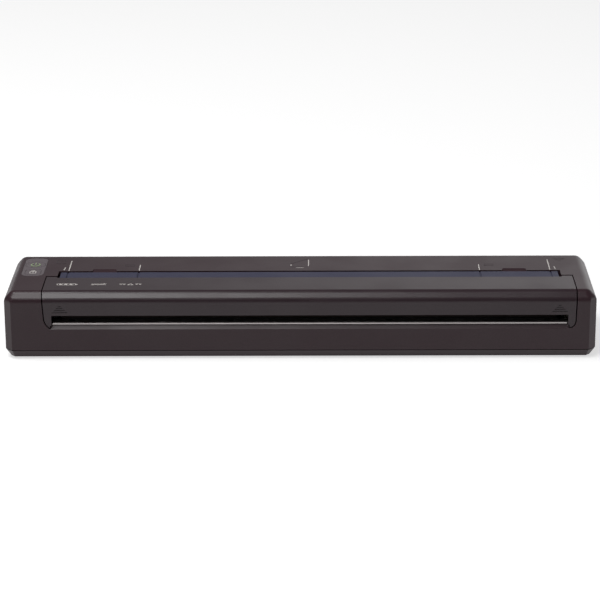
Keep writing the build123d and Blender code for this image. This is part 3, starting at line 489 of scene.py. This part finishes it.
class PRINTER_OT_print_unit(PrinterOperator, bpy.types.Operator):
    """Finish the roller, the head, the tear bar and the sheet frame"""
    bl_idname = "printer.print_unit"
    bl_label = "Print unit"

    def make(self):
        dress(soft_rubber("roller_rubber", tone(44, 44, 46)), "platen_rubber")
        steel = brushed_metal("bright_steel", tone(184, 179, 178), 0.34, (0.02, 1, 1), 0.1 * MM)
        dress(steel, "tear_bar", "platen_shaft", "head_guide_pins", "head_springs")
        dress(brushed_metal("blued_steel", tone(60, 58, 60), 0.35), "hinge_pins")
        # The print frame is galvanised sheet; it is given a black colour here as painted shade inside the
        # slot.
        sheet = brushed_metal("black_sheet_painted_shade", tone(40, 40, 43), 0.45, (1, 1, 1), 4 * MM)
        dress(sheet, "print_frame")
        dress(brushed_metal("dark_aluminium", tone(104, 104, 108), 0.42), "heat_sink")
        dress(glazed_ceramic("head_glaze", tone(66, 58, 54)), "thermal_head")
        dress(smooth_plastic("black_plastic", tone(28, 28, 30), 0.35), "driver_cover", "platen_bushes",
              "paper_sensor")


class PRINTER_OT_drive(PrinterOperator, bpy.types.Operator):
    """Finish the gears, studs and motor"""
    bl_idname = "printer.drive"
    bl_label = "Drive"

    def make(self):
        dress(smooth_plastic("gear_plastic", tone(222, 218, 206)), "platen_gear", "drive_gear",
              "idler_gear")
        dress(brushed_metal("turned_brass", tone(206, 172, 104)), "motor_pinion")
        can = brushed_metal("motor_can", tone(150, 152, 156))
        dress(can, "motor", "motor_shaft", "gear_studs", "gear_clips")


class PRINTER_OT_electrics(PrinterOperator, bpy.types.Operator):
    """Finish the battery, the boards and the sockets"""
    bl_idname = "printer.electrics"
    bl_label = "Electrics"

    def make(self):
        dress(smooth_plastic("battery_sleeve", tone(42, 50, 84)), "battery_pack")
        dress(brushed_metal("contact_brass", tone(214, 184, 120)), "battery_contacts")
        mask = circuit_board("solder_mask", tone(26, 92, 58))
        dress(mask, "main_board", "driver_board", "button_board")
        dress(smooth_plastic("chip_plastic", tone(34, 34, 36), 0.4), "board_parts", "dc_jack",
              "button_switches")
        dress(brushed_metal("socket_steel", tone(188, 188, 190)), "usb_port")
        dress(smooth_plastic("cable_film", tone(226, 224, 216), 0.35), "board_cable")


class PRINTER_OT_fasteners(PrinterOperator, bpy.types.Operator):
    """Finish all screws"""
    bl_idname = "printer.fasteners"
    bl_label = "Screws"

    def make(self):
        screws = brushed_metal("screw_steel", tone(150, 148, 146), 0.35)
        names = ("case_screws", "guide_screws", "tear_bar_screws", "frame_screws", "board_screws",
                 "button_board_screws", "motor_screws")
        dress(screws, *names)


class PRINTER_OT_paper_marks(PrinterOperator, bpy.types.Operator):
    """Print the paper marks behind the feed slot"""
    bl_idname = "printer.paper_marks"
    bl_label = "Paper marks"

    def make(self):
        ink = ink_settings()
        white = printed_ink("white_ink", ink.white_ink)
        piece = ink_piece("paper_marks", self.marks(ink), white, "base")
        # These dark strokes are painted shade standing for the shaded edges of moulded symbols.
        dark = printed_ink("glyph_painted_shade", tone(58, 50, 54))
        piece = ink_piece("paper_glyphs", scaled(self.glyphs(ink)), dark, "base")

    def marks(self, ink):
        """The white lines that show where paper of two widths goes in."""
        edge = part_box("paper_guide")[1].y + MARK_GAP * MM
        width = ink.mark_width
        outlines = []
        for span, reach in ((ink.wide_paper, WIDE_MARK_REACH), (ink.narrow_paper, NARROW_MARK_REACH)):
            for side in (-1, 1):
                x = ink.paper_centre + side * span / 2
                outlines.append(bar((x, edge), (x, edge + reach * MM), width))
        x = MIDDLE_MARK_AT * MM
        outlines.append(bar((x, MIDDLE_MARK_FRONT * MM), (x, MIDDLE_MARK_REAR * MM), width))
        beside = [bar((-104.3, 5.0), (-104.0, 8.6), STROKE), bar((112.3, 5.0), (112.0, 8.6), STROKE)]
        middle = [bar((-1.9, 7.4), (1.5, 7.4), STROKE), bar((-4.2, 10.6), (-4.2, 12.0), 0.5)]
        return outlines + scaled(beside + middle)

    def glyphs(self, ink):
        """Dark outlines beside the marks: painted shade for the edges of moulded symbols."""
        centre = ink.paper_centre / MM
        outlines = [bar((-4.3, 13.4), (3.2, 20.2), MEDIUM), bar((-4.3, 8.8), (2.6, 8.8), STROKE)]
        outlines += frame_of(-108.4, 14.6, -104.6, 18.6, STROKE)
        outlines += loop([(112.6, 20.2), (117.6, 20.2), (115.1, 17.6)], STROKE)
        for side in (-1, 1):
            x = centre + side * (ink.narrow_paper / MM / 2 + 4.5)
            outlines += frame_of(x - 2.0, 10.2, x + 2.0, 12.2, STROKE)
        return outlines


class PRINTER_OT_status_icons(PrinterOperator, bpy.types.Operator):
    """Finish the three light pipes and print a plain symbol in front of each"""
    bl_idname = "printer.status_icons"
    bl_label = "Status symbols"

    def make(self):
        dress(smooth_plastic("smoked_lens", tone(26, 22, 26), 0.15), "light_pipes")
        white = printed_ink("white_ink_status", ink_settings().white_ink)
        strokes = self.battery(BATTERY_AT) + self.arrows(ARROWS_AT) + self.alert(ALERT_AT)
        piece = ink_piece("status_symbols", scaled(strokes), white, "cover")

    def battery(self, x, y=STATUS_ROW):
        """A battery with three bars in it."""
        outlines = frame_of(x - 4.4, y - 0.9, x + 3.6, y + 0.9, FINE)
        outlines.append(bar((x + 4.1, y - 0.4), (x + 4.1, y + 0.4), 0.6))
        outlines += [bar((x + d, y - 0.5), (x + d, y + 0.5), 1.2) for d in (-2.8, -0.6, 1.6)]
        return outlines

    def arrows(self, x, y=STATUS_ROW):
        """Two half arrows that pass each other."""
        outlines = []
        for side in (-1, 1):
            tip = (x + side * 3.3, y + side * 0.45)
            outlines.append(bar((x - side * 3.2, y + side * 0.45), tip, STROKE))
            outlines.append(bar(tip, (tip[0] - side * 1.1, tip[1] + side * 0.6), STROKE))
        return outlines

    def alert(self, x, y=STATUS_ROW):
        """A triangle between short lines."""
        outlines = loop([(x - 1.2, y - 0.9), (x + 1.2, y - 0.9), (x, y + 1.0)], FINE)
        for side in (-1, 1):
            for near in (2.2, 3.8):
                start = (x + side * near, y - 0.35)
                outlines.append(bar(start, (x + side * (near + 0.9), y - 0.35), MEDIUM))
            outlines.append(bar((x + side * 2.2, y + 0.45), (x + side * 4.7, y + 0.45), STROKE))
        return outlines


class PRINTER_OT_studio(PrinterOperator, bpy.types.Operator):
    """Set up the floor, the lamps and the camera"""
    bl_idname = "printer.studio"
    bl_label = "Studio"

    def make(self):
        self.floor()
        self.world()
        self.lamps()
        self.camera()
        bpy.context.scene.view_settings.view_transform = "Standard"

    def floor(self):
        """A wide floor that looks white but throws little light back on the object."""
        mesh = bpy.data.meshes.new("floor")
        reach = FLOOR_REACH
        corners = [(-reach, -reach, 0), (reach, -reach, 0), (reach, reach, 0), (-reach, reach, 0)]
        mesh.from_pydata(corners, [], [(0, 1, 2, 3)])
        floor = bpy.data.objects.new("floor", mesh)
        bpy.context.scene.collection.objects.link(floor)
        finish = Finish("floor_paper")
        path = finish.add("ShaderNodeLightPath").outputs
        seen = path["Is Camera Ray"]
        for ray in ("Is Glossy Ray", "Is Transmission Ray"):
            seen = finish.add("ShaderNodeMath", {0: seen, 1: path[ray]}, operation="MAXIMUM").outputs[0]
        bounce, paper = (*[FLOOR_BOUNCE] * 3, 1), (*[FLOOR_PAPER] * 3, 1)
        colour = finish.add("ShaderNodeMix", {"Factor": seen, "A": bounce, "B": paper}, data_type="RGBA")
        lift = {0: seen, 1: 1.0 - FLOOR_PAPER + FLOOR_LIFT}
        glow = finish.add("ShaderNodeMath", lift, operation="MULTIPLY")
        finish.set(Base_Color=colour.outputs["Result"], Roughness=1.0, Specular_IOR_Level=0.0)
        finish.set(Emission_Color=(1, 1, 1, 1), Emission_Strength=glow.outputs[0])
        mesh.materials.append(finish.material)

    def world(self):
        """Even light; the camera sees white, and gloss sees a white backdrop in a darker room."""
        studio = studio_settings()
        world = bpy.data.worlds.new("studio_air")
        bpy.context.scene.world = world
        world.use_nodes = True
        nodes, links = world.node_tree.nodes, world.node_tree.links
        background = nodes["Background"]
        background.inputs["Color"].default_value = (1, 1, 1, 1)
        place = nodes.new("ShaderNodeTexCoord").outputs["Generated"]
        parts = nodes.new("ShaderNodeSeparateXYZ")
        links.new(place, parts.inputs[0])

        def ramp(value, start, end, low, high):
            node = nodes.new("ShaderNodeMapRange")
            for key, number in (("From Min", start), ("From Max", end), ("To Min", low), ("To Max", high)):
                if isinstance(number, bpy.types.NodeSocket):
                    links.new(number, node.inputs[key])
                else:
                    node.inputs[key].default_value = number
            links.new(value, node.inputs["Value"])
            return node.outputs["Result"]

        across = ramp(parts.outputs["X"], *BACKDROP_ACROSS, BACKDROP_LEFT, BACKDROP_RIGHT)
        behind = ramp(parts.outputs["Y"], *BACKDROP_BEHIND, studio.dark_room, across)
        backdrop = ramp(parts.outputs["Z"], *BACKDROP_TOP, behind, studio.dark_room)
        path = nodes.new("ShaderNodeLightPath").outputs
        mirrored = ramp(path["Is Glossy Ray"], 0, 1, studio.ambient, backdrop)
        seen = nodes.new("ShaderNodeMath")
        seen.operation = "MAXIMUM"
        links.new(path["Is Camera Ray"], seen.inputs[0])
        links.new(path["Is Transmission Ray"], seen.inputs[1])
        links.new(ramp(seen.outputs[0], 0, 1, mirrored, 1.0), background.inputs["Strength"])

    def lamps(self):
        """A large lamp overhead and a faint one at the right end."""
        studio = studio_settings()
        self.softbox("overhead_lamp", OVERHEAD_PLACE, (0, 0, 0), OVERHEAD_SIZE, studio.overhead_power)
        self.softbox("side_lamp", SIDE_PLACE, SIDE_TARGET, SIDE_SIZE, studio.side_power)

    def softbox(self, name, place, target, size, power):
        """One rectangular lamp turned towards its target."""
        lamp = bpy.data.lights.new(name, "AREA")
        lamp.shape = "RECTANGLE"
        lamp.size, lamp.size_y = size
        lamp.energy = power
        holder = bpy.data.objects.new(name, lamp)
        bpy.context.scene.collection.objects.link(holder)
        holder.location = place
        toward = Vector(target) - Vector(place)
        holder.rotation_euler = toward.to_track_quat("-Z", "Y").to_euler()

    def camera(self):
        """A long lens a little above the printer, turned by the three set angles."""
        studio = studio_settings()
        data = bpy.data.cameras.new("camera")
        data.lens = studio.lens
        data.sensor_width = FILM_WIDTH
        data.clip_end = SIGHT
        camera = bpy.data.objects.new("camera", data)
        bpy.context.scene.collection.objects.link(camera)
        ahead = Vector((
            -math.sin(studio.swing) * math.cos(studio.tilt),
            math.cos(studio.swing) * math.cos(studio.tilt),
            -math.sin(studio.tilt),
        ))
        right = Vector((math.cos(studio.swing), math.sin(studio.swing), 0))
        up = right.cross(ahead)
        turned = Matrix.Rotation(studio.roll, 3, ahead)
        right, up = turned @ right, turned @ up
        basis = Matrix((right, up, -ahead)).transposed()
        place = Vector((studio.target_side, 0, studio.target_height)) - ahead * studio.distance
        camera.matrix_world = Matrix.Translation(place) @ basis.to_4x4()
        bpy.context.scene.camera = camera


OPERATORS = (
    PRINTER_OT_cases,
    PRINTER_OT_paper_guide,
    PRINTER_OT_keys,
    PRINTER_OT_print_unit,
    PRINTER_OT_drive,
    PRINTER_OT_electrics,
    PRINTER_OT_fasteners,
    PRINTER_OT_paper_marks,
    PRINTER_OT_status_icons,
    PRINTER_OT_studio,
)


class PRINTER_PT_panel(bpy.types.Panel):
    """Lists the steps that dress the printer"""
    bl_label = "Portable printer"
    bl_idname = "PRINTER_PT_panel"
    bl_space_type = "VIEW_3D"
    bl_region_type = "UI"
    bl_category = "Printer"

    def draw(self, context):
        for group in (case_settings(), ink_settings(), studio_settings()):
            box = self.layout.box()
            for name in group.__annotations__:
                box.prop(group, name)
        for operator in OPERATORS:
            self.layout.operator(operator.bl_idname)


CLASSES = (CaseSettings, InkSettings, StudioSettings, *OPERATORS, PRINTER_PT_panel)


def register():
    for cls in CLASSES:
        bpy.utils.register_class(cls)
    bpy.types.Scene.printer_case = PointerProperty(type=CaseSettings)
    bpy.types.Scene.printer_ink = PointerProperty(type=InkSettings)
    bpy.types.Scene.printer_studio = PointerProperty(type=StudioSettings)


def unregister():
    del bpy.types.Scene.printer_studio
    del bpy.types.Scene.printer_ink
    del bpy.types.Scene.printer_case
    for cls in reversed(CLASSES):
        bpy.utils.unregister_class(cls)


def main():
    register()
    for operator in OPERATORS:
        group, step = operator.bl_idname.split(".")
        getattr(getattr(bpy.ops, group), step)()


if __name__ == "__main__":
    main()
